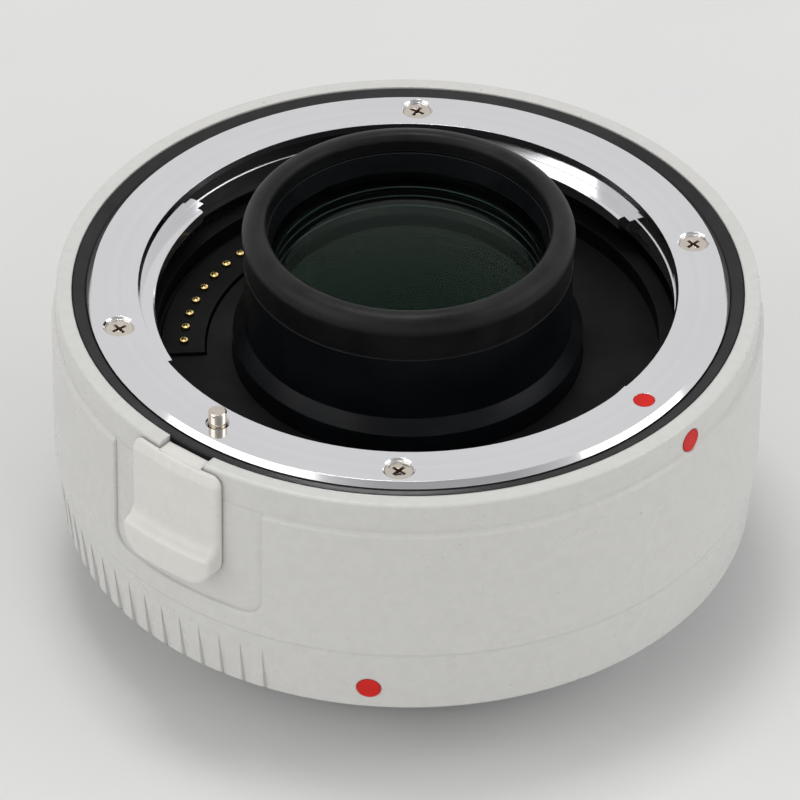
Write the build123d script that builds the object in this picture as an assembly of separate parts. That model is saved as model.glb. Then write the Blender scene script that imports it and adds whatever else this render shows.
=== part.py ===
from build123d import *
import math
import os

# A teleconverter: a short optical barrel that goes between a camera and its lens.
# Lengths are in millimetres and angles in degrees, counter-clockwise about +Z from +X.
# The origin is on the optical axis, on the flange face that meets the camera.
# +Z points to the lens, and -Y lies midway between the index mark and the release lever.

# Working gaps
fit_gap = 0.05
slide_gap = 0.05
shell_gap = 0.1
pass_gap = 0.2
overrun = 2.0

# Where along an edge it is looked at, to pick the edges to round
edge_shares = [0.0, 0.5, 1.0]

# Places round the axis
index_angle = -45.0
rim_index_angle = -44.4
camera_index_angle = -102.3
lever_angle = -135.2
lock_pin_angle = -135.8

# Bayonet, the same on both sides
flange_distance = 27.2
lens_face = flange_distance
throat_radius = 27.05
flange_width = 5.45
flange_radius = throat_radius + flange_width
claw_depth = 1.45
claw_radius = throat_radius - claw_depth
claw_root_width = 1.15
claw_root_radius = throat_radius + claw_root_width
claw_thickness = 1.4
claw_turns = [69.2, 181.7, 305.2]
claw_sweeps = [62.0, 62.8, 62.8]
claw_step_depth = 0.7
claw_step_radius = claw_radius + claw_step_depth
claw_step_sweep = 2.2
claw_chamfer = 0.2
claw_ledge_width = 0.1
tab_clearance_gap = 0.15
tab_radius = throat_radius - tab_clearance_gap
tab_thickness = 1.4
tab_gap = 0.1
tab_margin = 4.0
tab_sweeps = [46.0, 55.0, 55.0]
mount_screw_edge_width = 2.6
mount_screw_circle_radius = flange_radius - mount_screw_edge_width

# Lens-side flange plate
front_plate_thickness = 1.95
plate_low = lens_face - front_plate_thickness
claw_low = plate_low - claw_thickness
front_plate_chamfer = 0.55
throat_bevel_width = 0.25
throat_bevel_height = 0.6
front_screw_turns = [53.0, 127.0, 233.0, 307.0]
screw_sink_depth = 0.3
screw_mouth_bevel = 0.2

# Screws, one size for both flanges
screw_head_radius = 1.42
screw_head_height = 0.8
screw_shank_radius = 0.85
screw_grip_length = 2.2
cross_width = 0.36
cross_length = 1.7
cross_depth = 0.5

# Small screws for the covers inside
small_head_radius = 1.0
small_head_height = 0.5
small_shank_radius = 0.55

# White barrel, stepped out from the lens-side flange
barrel_low = 0.7
rim_depth = 0.2
barrel_high = lens_face - rim_depth
chassis_edge_width = 0.7
chassis_radius = flange_radius + chassis_edge_width
barrel_bore = chassis_radius + shell_gap
trim_width = 1.5
rim_bore = flange_radius + trim_width
rim_thickness = 1.6
barrel_neck_radius = rim_bore + rim_thickness
belt_step_depth = 0.45
barrel_belt_radius = barrel_neck_radius + belt_step_depth
waist_step_depth = 0.25
barrel_waist_radius = barrel_neck_radius + waist_step_depth
foot_step_depth = 0.4
barrel_foot_radius = barrel_neck_radius - foot_step_depth
belt_top_depth = 3.7
belt_high = barrel_high - belt_top_depth
belt_slope = 0.35
belt_fillet = 0.3
rim_fillet = 0.35
foot_chamfer = 0.3
ledge_bore = flange_radius + shell_gap
ledge_depth = 1.8
ledge_high = lens_face - ledge_depth
ledge_thickness = 0.8
ledge_low = ledge_high - ledge_thickness

# Trim ring, higher at its outer edge
trim_depth = 0.6
trim_high = lens_face - trim_depth
trim_outer_depth = 0.25
trim_outer_high = lens_face - trim_outer_depth
trim_chamfer = 0.15

# Release lever
release_travel = 1.9
lever_pad_turn = -0.7
lever_half_width = 5.55
lever_top_depth = 0.5
lever_high = barrel_high - lever_top_depth
lever_height = 13.05
lever_low = lever_high - lever_height
crown_height = 1.2
lever_fold = lever_high - crown_height
lever_back_radius = barrel_neck_radius + pass_gap
lever_thickness = 0.75
lever_face_radius = lever_back_radius + lever_thickness
crown_thickness = 0.2
lever_crown_radius = lever_back_radius + crown_thickness
lip_depth = 1.5
lip_radius = lever_face_radius + lip_depth
lip_height = 3.65
lever_top_corner = crown_height - fit_gap
lever_foot_corner = 2.6
lever_edge_fillet = 0.5
stem_half_width = 2.6
stem_low_height = 2.45
stem_low = lever_low + stem_low_height
stem_height = 5.0
stem_gap = 0.3
stem_depth_radius = chassis_radius - stem_gap
rib_depth_radius = rim_bore + pass_gap

# Bay in the belt, round the lever
bay_side_gap = 3.84
bay_half_width = lever_half_width + bay_side_gap
bay_low_gap = 0.95
bay_low = lever_low - release_travel - bay_low_gap
belt_low_height = 2.2
belt_low = bay_low - belt_low_height
bay_corner = 2.0
bay_floor_step = 0.04

# Notched grip round the barrel's camera end
notch_pitch = 3.96
notch_count = 54
notch_first_angle = -120.0
notch_depth = 0.42
notch_lean = 0.12
notch_ramp_sweep = 1.9
notch_top_gap = 2.2
notch_top = belt_low - notch_top_gap

# Black dish on the lens side
dish_depth = 8.0
dish_floor = lens_face - dish_depth
dish_ledge_depth = 6.0
dish_ledge = lens_face - dish_ledge_depth
dish_bore = claw_radius - shell_gap
dish_edge_width = 0.15
dish_radius = throat_radius + dish_edge_width
dish_thickness = 0.8

# Chassis
rear_plate_thickness = 1.5
chassis_low = rear_plate_thickness
chassis_wall = 1.8
chassis_ring_height = 3.05
chassis_ring_bore = dish_radius + pass_gap
chassis_web_gap = 0.4
chassis_web_high = stem_low - release_travel - chassis_web_gap
chassis_web_thickness = 1.8
chassis_web_low = chassis_web_high - chassis_web_thickness
chassis_base_thickness = 2.5
chassis_base_high = chassis_low + chassis_base_thickness

# Bracket, posts and springs behind the lever
bracket_thickness = 0.8
bracket_depth = 2.05
bracket_high = plate_low - bracket_depth
bracket_side_gap = 0.05
bracket_half_width = lever_half_width - bracket_side_gap
pocket_side_gap = 0.63
pocket_half_width = bracket_half_width + pocket_side_gap
bracket_inner_gap = 1.0
bracket_inner_radius = dish_radius + bracket_inner_gap
bracket_tab_half_width = 2.5
bracket_screw_shares = [0.27, 0.73]
bracket_screw_length = 1.6
post_radius = 0.75
post_edge_width = 2.3
post_circle_radius = flange_radius - post_edge_width
post_side_gap = 1.1
post_side_width = bracket_half_width - post_side_gap
post_seat_depth = 1.4
release_spring_wire = 0.36
release_spring_turns = 7

# Lock pin
lock_pin_edge_width = 2.93
lock_pin_circle_radius = flange_radius - lock_pin_edge_width
lock_pin_radius = 0.92
lock_pin_height = 1.5
lock_pin_chamfer = 0.15
lock_pin_neck_radius = 0.7
lock_pin_rivet_radius = 1.1
lock_pin_rivet_height = 0.6
lock_hole_bevel = 0.25

# Camera-side mount
rear_plate_radius = flange_radius - shell_gap
locating_radius = throat_radius - shell_gap
locating_height = 1.4
tube_radius = claw_radius - pass_gap
tube_wall = 1.8
tube_bore = tube_radius - tube_wall
tube_length = 6.0
tube_chamfer = 0.3
rear_screw_angles = [-90.0, 0.0, 90.0, 180.0]
lock_slot_length = 3.0
lock_slot_width = 2.3
gasket_lip = 0.3

# Contacts, shared by both sides
contact_count = 8
contact_pitch = 5.76
contact_first_angle = 133.1
contact_edge_width = 0.9
contact_circle_radius = tube_bore - contact_edge_width
contact_sweep = contact_pitch * (contact_count - 1)
contact_angles = [contact_first_angle + contact_pitch * number for number in range(contact_count)]

# Lens-side contact block and its pins
block_inner_width = 2.1
block_inner_radius = contact_circle_radius - block_inner_width
block_edge_gap = 0.5
block_outer_radius = dish_bore - block_edge_gap
block_end_sweep = 4.6
block_window_margin = 0.5
block_step_height = 0.3
block_high = dish_floor + block_step_height
block_roof = 0.9
pin_radius = 0.4
pin_collar_radius = 0.65
pin_collar_height = 0.55
pin_tail_radius = 0.28
pin_tail_length = 1.4
pin_stroke_height = 0.7
pin_bore_radius = 0.72
contact_spring_radius = 0.56
contact_spring_wire = 0.2

# Nose: front cell, bumper and retaining ring
cavity_width = 10.45
nose_radius = throat_radius - cavity_width
bumper_seat_depth = 1.0
nose_neck_radius = nose_radius - bumper_seat_depth
nose_shoulder_height = 3.05
nose_shoulder = lens_face + nose_shoulder_height
nose_height = 6.1
nose_high = lens_face + nose_height
collar_width = 1.15
collar_radius = nose_radius + collar_width
collar_depth = 5.65
collar_high = lens_face - collar_depth
collar_slope_height = 1.35
cell_neck_depth = 0.4
cell_neck_radius = nose_radius - cell_neck_depth
cell_neck_low = 8.0
cell_wall_thickness = 0.7
cell_bore = nose_neck_radius - cell_wall_thickness
cell_ledge_depth = 10.2
cell_ledge = lens_face - cell_ledge_depth
cell_ledge_width = 1.7
cell_ledge_bore = cell_bore - cell_ledge_width
bumper_swell_width = 0.2
bumper_radius = nose_radius + bumper_swell_width
bumper_widest_height = 6.2
bumper_widest = lens_face + bumper_widest_height
bumper_height = 8.0
bumper_high = lens_face + bumper_height
bumper_crest_width = 1.55
bumper_crest_radius = bumper_radius - bumper_crest_width
bumper_lip_width = 0.6
bumper_bore = cell_bore - bumper_lip_width
bumper_lip_depth = 0.7
bumper_lip_high = bumper_high - bumper_lip_depth
ring_top_depth = 0.2
ring_high = nose_high - ring_top_depth
ring_width_low = 1.0
ring_bore_low = cell_bore - ring_width_low
ring_width_high = 0.7
ring_bore_high = cell_bore - ring_width_high

# Front group of elements
front_element_low_height = 0.7
front_element_low = lens_face + front_element_low_height
front_element_high_height = 3.75
front_element_high = lens_face + front_element_high_height
front_element_bow = 1.9
front_element_back_bow = 0.9
middle_front_low_depth = 6.6
middle_front_low = lens_face - middle_front_low_depth
middle_front_high_depth = 2.8
middle_front_high = lens_face - middle_front_high_depth
middle_front_bow = -1.2
cement_bow = 1.5
middle_rear_bow = 0.4
element_rim = 1.0
spacer_wall = 1.4

# Rear cell and rear group
rear_cell_bore_depth = 1.3
rear_cell_bore = cell_bore - rear_cell_bore_depth
rear_cell_thickness = 3.3
rear_cell_nose_radius = rear_cell_bore + rear_cell_thickness
rear_cell_socket_thickness = 2.65
rear_cell_radius = cell_neck_radius + fit_gap + rear_cell_socket_thickness
rear_cell_low = -2.6
rear_cell_ledge = 6.2
rear_ledge_width = 1.0
rear_cell_ledge_bore = rear_cell_bore - rear_ledge_width
rear_front_low = 3.6
rear_front_bow = -0.9
rear_front_back_bow = 0.7
rear_element_low = -1.2
rear_element_high = 2.0
rear_element_bow = 1.2
rear_element_back_bow = -0.6
rear_ring_low = -2.4
rear_ring_bore = rear_cell_bore - rear_ledge_width
chassis_web_bore = cell_neck_radius + shell_gap
chassis_base_bore = rear_cell_nose_radius + shell_gap

# Circuit board, chips and flex
board_thickness = 1.0
board_high = chassis_web_high + board_thickness
board_collar_gap = 0.45
board_inner_radius = collar_radius + board_collar_gap
board_outer_radius = dish_radius - dish_thickness - pass_gap
chip_angles = [-20.0, 20.0, 70.0]
chip_width = 4.4
chip_length = 5.0
chip_height = 0.9
chip_edge_width = 4.0
chip_circle_radius = board_outer_radius - chip_edge_width
flex_width = 8.0
flex_thickness = 0.2
flex_circle_radius = chip_circle_radius

# Camera-side contact block
rear_block_low = -7.6
rear_block_end_sweep = 9.0
rear_block_screw_sweep = 5.6
rear_block_screw_edge_width = 1.6
rear_block_screw_circle_radius = tube_bore - rear_block_screw_edge_width
pad_radius = 0.7
pad_thickness = 0.3
pad_step_height = 0.05

# Camera-side baffle
rear_baffle_low = -4.0
rear_baffle_thickness = 1.0
rear_baffle_wall = 1.0
window_length = 27.0
window_width = 20.0
window_corner = 3.0
baffle_pillar_radius = 1.7
baffle_pillar_edge_width = 2.8
baffle_pillar_circle_radius = tube_bore - baffle_pillar_edge_width
baffle_pillar_angles = [45.0, -75.0, -140.0]

# Leaf springs under the claws
leaf_thickness = 0.25
leaf_edge_width = 0.6
leaf_inner_radius = claw_radius + leaf_edge_width
leaf_sweep = 30.0
leaf_rivet_radius = 0.45
leaf_rivet_height = 0.5
leaf_rivet_sweep = 11.0

# Index marks
mark_radius = 1.2
flange_mark_radius = 1.05
mark_thickness = 0.3
flange_mark_edge_width = 2.5
flange_mark_circle_radius = flange_radius - flange_mark_edge_width
rim_mark_depth = 2.3
rim_mark_height = barrel_high - rim_mark_depth
foot_mark_step_height = 2.8
foot_mark_height = barrel_low + foot_mark_step_height


def turned(outline, start=0.0, sweep=360.0):
    """Turns an outline of (radius, height) points about the optical axis."""
    face = make_face(Plane.XZ * Polyline(*outline, close=True))
    return Rot(0, 0, start) * revolve(face, Axis.Z, revolution_arc=sweep)


def ring(inner, outer, low, high, start=0.0, sweep=360.0):
    return turned([(inner, low), (outer, low), (outer, high), (inner, high)], start, sweep)


def rod(radius, low, high):
    return extrude(Plane.XY.offset(low) * Circle(radius), high - low)


def slab(low_corner, high_corner):
    size = [high - low for low, high in zip(low_corner, high_corner)]
    corner = Box(*size, align=(Align.MIN, Align.MIN, Align.MIN))
    return Pos(*low_corner) * corner


def polar(angle, reach, height=0.0):
    return Rot(0, 0, angle) * Pos(reach, 0, height)


def hanging_cone(low_radius, high_radius, height):
    """A cone with its upper face at height zero."""
    return Cone(low_radius, high_radius, height, align=(Align.CENTER, Align.CENTER, Align.MAX))


def cross_recess(face_height):
    """The cross in a screw head, cut down from face_height."""
    arm = Box(cross_length, cross_width, cross_depth, align=(Align.CENTER, Align.CENTER, Align.MAX))
    return Pos(0, 0, face_height) * (arm + Rot(0, 0, 90) * arm)


def flange_screw():
    """A countersunk screw, its head's face at height zero and its shank pointing down."""
    head = hanging_cone(screw_shank_radius, screw_head_radius, screw_head_height)
    shank = rod(screw_shank_radius, -screw_head_height - screw_grip_length, -screw_head_height)
    return head + shank - cross_recess(0)


def flange_screw_hole(depth_of_head):
    """What a flange loses for one screw whose head's face lies depth_of_head below the flange's face."""
    head_radius = screw_head_radius + fit_gap
    shank_radius = screw_shank_radius + fit_gap
    mouth = rod(head_radius, -depth_of_head, overrun)
    bevel = hanging_cone(head_radius, head_radius + screw_mouth_bevel, screw_mouth_bevel)
    seat = hanging_cone(shank_radius, head_radius, screw_head_height)
    shank = rod(shank_radius, -depth_of_head - screw_head_height - screw_grip_length, -depth_of_head)
    return mouth + bevel + Pos(0, 0, -depth_of_head) * seat + shank


def small_screw(length):
    """A small cheese-head screw: head above height zero, shank below."""
    head = rod(small_head_radius, 0, small_head_height)
    slot = Pos(0, 0, small_head_height) * Box(2 * small_head_radius + fit_gap, cross_width, small_head_height)
    return head + rod(small_shank_radius, -length, 0) - slot


def front_screw_places():
    return [polar(index_angle + turn, mount_screw_circle_radius, lens_face) for turn in front_screw_turns]


def rear_screw_places():
    return [polar(angle, mount_screw_circle_radius) * Rot(180, 0, 0) for angle in rear_screw_angles]


def front_mount():
    """The female bayonet: a flange plate with three claws on a narrow ledge under its throat."""
    plate = turned([
        (throat_radius, plate_low),
        (flange_radius, plate_low),
        (flange_radius, lens_face - front_plate_chamfer),
        (flange_radius - front_plate_chamfer, lens_face),
        (throat_radius + throat_bevel_width, lens_face),
        (throat_radius, lens_face - throat_bevel_height),
    ])
    plate += ring(throat_radius - claw_ledge_width, claw_root_radius, claw_low, plate_low)
    for turn, sweep in zip(claw_turns, claw_sweeps):
        start = index_angle + turn
        inner_start = start + claw_step_sweep
        inner_sweep = sweep - 2 * claw_step_sweep
        plate += ring(claw_step_radius, claw_root_radius, claw_low, plate_low, start, sweep)
        claw_outline = [
            (claw_radius, claw_low),
            (claw_root_radius, claw_low),
            (claw_root_radius, plate_low),
            (claw_radius + claw_chamfer, plate_low),
            (claw_radius, plate_low - claw_chamfer),
        ]
        plate += turned(claw_outline, inner_start, inner_sweep)
    for place in front_screw_places():
        plate -= place * flange_screw_hole(screw_sink_depth)
    hole = polar(lock_pin_angle, lock_pin_circle_radius)
    hole_radius = lock_pin_radius + slide_gap
    plate -= hole * rod(hole_radius, plate_low - overrun, lens_face + overrun)
    mouth = hanging_cone(hole_radius, hole_radius + lock_hole_bevel, lock_hole_bevel)
    plate -= hole * Pos(0, 0, lens_face) * mouth
    mark = polar(index_angle, flange_mark_circle_radius, lens_face)
    plate -= mark * rod(flange_mark_radius + fit_gap, -mark_thickness, overrun)
    return plate


def front_mount_screws():
    return [place * Pos(0, 0, -screw_sink_depth) * flange_screw() for place in front_screw_places()]


def bayonet_springs():
    leaves = []
    for turn, sweep in zip(claw_turns, claw_sweeps):
        start = index_angle + turn + (sweep - leaf_sweep) / 2
        leaf_low = claw_low - leaf_thickness
        leaf = ring(leaf_inner_radius, claw_root_radius, leaf_low, claw_low, start, leaf_sweep)
        for place in leaf_rivet_places(turn, sweep):
            leaf -= place * rod(leaf_rivet_radius + fit_gap, -leaf_thickness - overrun, overrun)
        leaves.append(leaf)
    return leaves


def leaf_rivet_places(turn, sweep):
    middle = index_angle + turn + sweep / 2
    reach = (leaf_inner_radius + claw_root_radius) / 2
    return [polar(middle + side * leaf_rivet_sweep, reach, claw_low) for side in (-1, 1)]


def bayonet_spring_rivets():
    rivets = []
    for turn, sweep in zip(claw_turns, claw_sweeps):
        for place in leaf_rivet_places(turn, sweep):
            rivets.append(place * rod(leaf_rivet_radius, fit_gap - leaf_rivet_height, 0))
    return rivets


def notch_cutter(number):
    """One notch of the grip: a steep side and a long ramp, deepest at the barrel's foot."""
    angle = notch_first_angle - notch_pitch * number
    spread = math.radians(notch_ramp_sweep)
    rise = notch_top - barrel_low
    taper = (barrel_waist_radius - barrel_foot_radius) / (belt_low - barrel_low)

    faces = []
    for height in (barrel_low - overrun, notch_top + overrun / 10):
        surface = barrel_foot_radius + taper * (height - barrel_low)
        depth = notch_depth * (notch_top - height) / rise
        outside = surface + overrun
        ramp_end = (surface * math.cos(spread), surface * math.sin(spread))
        corners = [(surface - depth, 0), ramp_end, (outside, ramp_end[1]), (outside, -notch_lean)]
        faces.append(Plane.XY.offset(height) * make_face(Polyline(*corners, close=True)))
    return Rot(0, 0, angle) * loft(Sketch() + faces, ruled=True)


def bay_cutter():
    """The bay in the belt: down to the neck's radius, with rounded lower corners."""
    wide = 2 * bay_half_width
    high = belt_high + belt_slope - bay_low + bay_corner
    middle = bay_low + high / 2
    outline = RectangleRounded(wide, high, bay_corner)
    plane = Plane(origin=(barrel_bore, 0, middle), x_dir=(0, 1, 0), z_dir=(1, 0, 0))
    prism = extrude(plane * outline, barrel_belt_radius)
    floor_radius = barrel_neck_radius + bay_floor_step
    skin = ring(floor_radius, barrel_belt_radius + overrun, bay_low - overrun, belt_high + belt_slope)
    return Rot(0, 0, lever_angle) * (prism & skin)


def edge_points(edge):
    """Points on an edge as (reach from the axis, angle from the lever's middle, height)."""
    points = [edge.position_at(share) for share in edge_shares]
    found = []
    for point in points:
        turn = math.degrees(math.atan2(point.Y, point.X)) - lever_angle
        found.append((math.hypot(point.X, point.Y), math.remainder(turn, 360), point.Z))
    return found


def borders_belt(edge):
    """Whether an edge runs round the top or the foot of the belt, on the outside."""
    low = belt_low - fit_gap
    high = belt_high + fit_gap
    points = edge_points(edge)
    return all(reach > barrel_neck_radius and low < height < high for reach, turn, height in points)


def borders_bay(edge):
    """Whether an edge runs where the belt's surface meets the bay's wall."""
    least_reach = barrel_neck_radius + bay_floor_step + fit_gap
    widest_turn = 2 * math.degrees(math.asin(bay_half_width / barrel_belt_radius))
    points = edge_points(edge)
    return all(reach > least_reach and abs(turn) < widest_turn for reach, turn, height in points)


def mark_places():
    """Where the two marks on the barrel sit, each with +X pointing out of the barrel."""
    lean = math.degrees(math.atan2(barrel_waist_radius - barrel_foot_radius, belt_low - barrel_low))
    share = (foot_mark_height - barrel_low) / (belt_low - barrel_low)
    foot_radius = barrel_foot_radius + share * (barrel_waist_radius - barrel_foot_radius)
    rim = polar(rim_index_angle, barrel_neck_radius, rim_mark_height)
    foot = polar(camera_index_angle, foot_radius, foot_mark_height) * Rot(0, lean, 0)
    return [rim * Rot(0, 90, 0), foot * Rot(0, 90, 0)]


def outer_barrel():
    """The white shell, with its belt, bay, lever slot, marks and grip."""
    barrel = turned([
        (barrel_bore, barrel_low),
        (barrel_foot_radius - foot_chamfer, barrel_low),
        (barrel_foot_radius, barrel_low + foot_chamfer),
        (barrel_waist_radius, belt_low - belt_slope),
        (barrel_belt_radius, belt_low),
        (barrel_belt_radius, belt_high),
        (barrel_neck_radius, belt_high + belt_slope),
        (barrel_neck_radius, barrel_high),
        (rim_bore, barrel_high),
        (rim_bore, ledge_high),
        (ledge_bore, ledge_high),
        (ledge_bore, ledge_low),
        (barrel_bore, ledge_low),
    ])
    top_edges = barrel.edges().filter_by(GeomType.CIRCLE).group_by(Axis.Z)[-1]
    barrel = fillet(top_edges.sort_by(SortBy.RADIUS)[-1], rim_fillet)
    barrel = fillet([edge for edge in barrel.edges() if borders_belt(edge)], belt_fillet)
    barrel -= bay_cutter()
    barrel = fillet([edge for edge in barrel.edges() if borders_bay(edge)], belt_fillet)
    slot_half = stem_half_width + pass_gap
    slot_low = stem_low - release_travel - pass_gap
    slot = slab(
        (ledge_bore - overrun, -slot_half, slot_low),
        (barrel_belt_radius + overrun, slot_half, barrel_high + overrun),
    )
    barrel -= Rot(0, 0, lever_angle) * slot
    for place in mark_places():
        barrel -= place * rod(mark_radius + fit_gap, -mark_thickness, overrun)
    cutters = [notch_cutter(number) for number in range(notch_count)]
    return barrel - cutters


def index_marks():
    flange_place = polar(index_angle, flange_mark_circle_radius, lens_face)
    flange_dot = flange_place * rod(flange_mark_radius, -mark_thickness, 0)
    return [flange_dot] + [place * rod(mark_radius, -mark_thickness, fit_gap) for place in mark_places()]


def trim_ring():
    inner = flange_radius + fit_gap
    outer = rim_bore - fit_gap
    return turned([
        (inner, ledge_high),
        (outer, ledge_high),
        (outer, trim_outer_high - trim_chamfer),
        (outer - trim_chamfer, trim_outer_high),
        (inner + trim_chamfer, trim_high),
        (inner, trim_high - trim_chamfer),
    ])


def chassis():
    """The ring frame: a ring for the lens mount, a web for the optics, a base for the camera mount."""
    wall_bore = chassis_radius - chassis_wall
    ring_low = plate_low - chassis_ring_height
    claw_bore = claw_root_radius + fit_gap + fit_gap
    frame = turned([
        (chassis_base_bore, chassis_low),
        (chassis_radius, chassis_low),
        (chassis_radius, ledge_low),
        (ledge_bore - fit_gap, ledge_low),
        (ledge_bore - fit_gap, plate_low),
        (claw_bore, plate_low),
        (claw_bore, claw_low - fit_gap),
        (chassis_ring_bore, claw_low - fit_gap),
        (chassis_ring_bore, ring_low),
        (wall_bore, ring_low),
        (wall_bore, chassis_web_high),
        (chassis_web_bore, chassis_web_high),
        (chassis_web_bore, chassis_web_low),
        (wall_bore, chassis_web_low),
        (wall_bore, chassis_base_high),
        (chassis_base_bore, chassis_base_high),
    ])
    leaf_recess_low = claw_low - leaf_thickness - leaf_rivet_height
    for turn, sweep in zip(claw_turns, claw_sweeps):
        start = index_angle + turn
        frame -= ring(chassis_ring_bore - overrun, claw_bore, leaf_recess_low, plate_low, start, sweep)
    pocket_bore = dish_radius + fit_gap
    pocket_sweep = 2 * math.degrees(math.asin(pocket_half_width / pocket_bore))
    pocket_start = lever_angle - pocket_sweep / 2
    pocket_radius = chassis_radius + overrun
    frame -= ring(pocket_bore, pocket_radius, chassis_web_high, lens_face, pocket_start, pocket_sweep)
    for place in front_screw_places():
        frame -= place * rod(screw_shank_radius + fit_gap, -lens_face + ring_low - overrun, 0)
    for place in rear_screw_places():
        frame -= place * rod(screw_shank_radius + fit_gap, -chassis_base_high - overrun, 0)
    for place in post_places():
        seat_low = chassis_web_high - post_seat_depth
        frame -= place * rod(post_radius + fit_gap, seat_low, chassis_web_high + overrun)
    for place in baffle_pillar_places():
        frame -= place * rod(small_shank_radius + fit_gap, chassis_low - overrun, chassis_base_high + overrun)
    for place in rear_block_screw_places():
        frame -= place * rod(small_shank_radius + fit_gap, chassis_low - overrun, chassis_base_high + overrun)
    return frame - flex_passage()


def flex_passage():
    half_width = flex_width / 2 + pass_gap
    return Rot(0, 0, contact_middle()) * slab(
        (flex_circle_radius - pass_gap, -half_width, chassis_low - overrun),
        (flex_circle_radius + flex_thickness + pass_gap, half_width, chassis_web_high + overrun),
    )


def contact_middle():
    return contact_first_angle + contact_sweep / 2


def flex_cable():
    half_width = flex_width / 2
    return Rot(0, 0, contact_middle()) * slab(
        (flex_circle_radius, -half_width, chassis_low),
        (flex_circle_radius + flex_thickness, half_width, chassis_web_high),
    )


def post_places():
    return [Rot(0, 0, lever_angle) * Pos(post_circle_radius, side * post_side_width, 0) for side in (-1, 1)]


def lock_pin_spot():
    return polar(lock_pin_angle, lock_pin_circle_radius)


def release_guide_posts():
    post = rod(post_radius, chassis_web_high - post_seat_depth, plate_low - fit_gap)
    return [place * post for place in post_places()]


def release_springs():
    """The two return springs, each wound round its guide post."""
    wire = release_spring_wire / 2
    coil_radius = post_radius + slide_gap + release_spring_wire
    low = chassis_web_high + wire + fit_gap
    high = bracket_high - bracket_thickness - wire - fit_gap
    height = high - low
    path = Helix(height / release_spring_turns, height, coil_radius)
    section = Plane(origin=path @ 0, z_dir=path % 0) * RegularPolygon(wire, 6)
    coil = Pos(0, 0, low) * sweep(section, path, is_frenet=True)
    return [place * coil for place in post_places()]


def release_bracket():
    """A folded plate: an arm over the posts and a tab behind the lever's stem."""
    arm_low = bracket_high - bracket_thickness
    tab_inner = stem_depth_radius - bracket_thickness
    arm_half = bracket_half_width
    arm = slab((bracket_inner_radius, -arm_half, arm_low), (tab_inner, arm_half, bracket_high))
    tab_half = bracket_tab_half_width
    tab = slab((tab_inner, -tab_half, stem_low), (stem_depth_radius, tab_half, bracket_high))
    bracket = Rot(0, 0, lever_angle) * (arm + tab)
    for place in post_places():
        bracket -= place * rod(post_radius + slide_gap, arm_low - overrun, bracket_high + overrun)
    neck_hole = rod(lock_pin_neck_radius + fit_gap, arm_low - overrun, bracket_high + overrun)
    bracket -= lock_pin_spot() * neck_hole
    for place in bracket_screw_places():
        bracket -= place * rod(small_shank_radius + fit_gap, -overrun, overrun)
    return bracket


def bracket_screw_places():
    """Two screws through the tab into the stem, heads on the tab's inner face."""
    tab_inner = stem_depth_radius - bracket_thickness
    places = []
    for share in bracket_screw_shares:
        height = stem_low + share * stem_height
        places.append(Rot(0, 0, lever_angle) * Pos(tab_inner, 0, height) * Rot(0, -90, 0))
    return places


def release_bracket_screws():
    return [place * small_screw(bracket_screw_length) for place in bracket_screw_places()]


def lock_pin():
    shoulder = bracket_high
    top = lens_face + lock_pin_height
    rivet_high = bracket_high - bracket_thickness
    outline = [
        (0, rivet_high - lock_pin_rivet_height),
        (lock_pin_rivet_radius, rivet_high - lock_pin_rivet_height),
        (lock_pin_rivet_radius, rivet_high),
        (lock_pin_neck_radius, rivet_high),
        (lock_pin_neck_radius, shoulder),
        (lock_pin_radius, shoulder),
        (lock_pin_radius, top - lock_pin_chamfer),
        (lock_pin_radius - lock_pin_chamfer, top),
        (0, top),
    ]
    return lock_pin_spot() * turned(outline)


def release_lever():
    """The thumb lever: a curved pad with a lip to push, a crown in the rim's notch and a stem."""
    lip_high = lever_low + lip_height
    shelf_high = lip_high + lip_depth
    shelf_share = 1 - math.sqrt(0.5)
    profile = make_face(Plane.XZ * (
        Line((lever_back_radius, lever_low), (lip_radius, lever_low))
        + Line((lip_radius, lever_low), (lip_radius, lip_high))
        + ThreePointArc(
            (lip_radius, lip_high),
            (lever_face_radius + lip_depth * shelf_share, lip_high + lip_depth * shelf_share),
            (lever_face_radius, shelf_high),
        )
        + Line((lever_face_radius, shelf_high), (lever_face_radius, lever_fold))
        + Line((lever_face_radius, lever_fold), (lever_crown_radius, lever_high))
        + Line((lever_crown_radius, lever_high), (lever_back_radius, lever_high))
        + Line((lever_back_radius, lever_high), (lever_back_radius, lever_low))
    ))
    half_sweep = math.degrees(math.asin((lever_half_width + fit_gap) / lever_back_radius))
    skin = Rot(0, 0, -half_sweep) * revolve(profile, Axis.Z, revolution_arc=2 * half_sweep)
    pad = skin & lever_outline_prism()
    pad = fillet([edge for edge in pad.edges() if borders_pad(edge)], lever_edge_fillet)
    stem = slab(
        (stem_depth_radius, -stem_half_width, stem_low),
        (lever_back_radius + fit_gap, stem_half_width, stem_low + stem_height),
    )
    rib = slab(
        (rib_depth_radius, -stem_half_width, stem_low),
        (lever_back_radius + fit_gap, stem_half_width, lever_high),
    )
    pad = Rot(0, 0, lever_pad_turn) * pad
    lever = Rot(0, 0, lever_angle) * (pad + stem + rib)
    for place in bracket_screw_places():
        lever -= place * rod(small_shank_radius + fit_gap, -bracket_screw_length - bracket_thickness, 0)
    return lever


def borders_pad(edge):
    """Whether an edge runs round the front of the pad or along the lip's crest."""
    points = edge_points(edge)
    outside = all(reach > lever_back_radius + fit_gap for reach, turn, height in points)
    heights = [height for reach, turn, height in points]
    level = max(heights) - min(heights) < fit_gap
    on_face = any(reach < lip_radius - fit_gap for reach, turn, height in points)
    across = level and on_face and lever_low + fit_gap < heights[0] < lever_high - fit_gap
    return outside and not across


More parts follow.
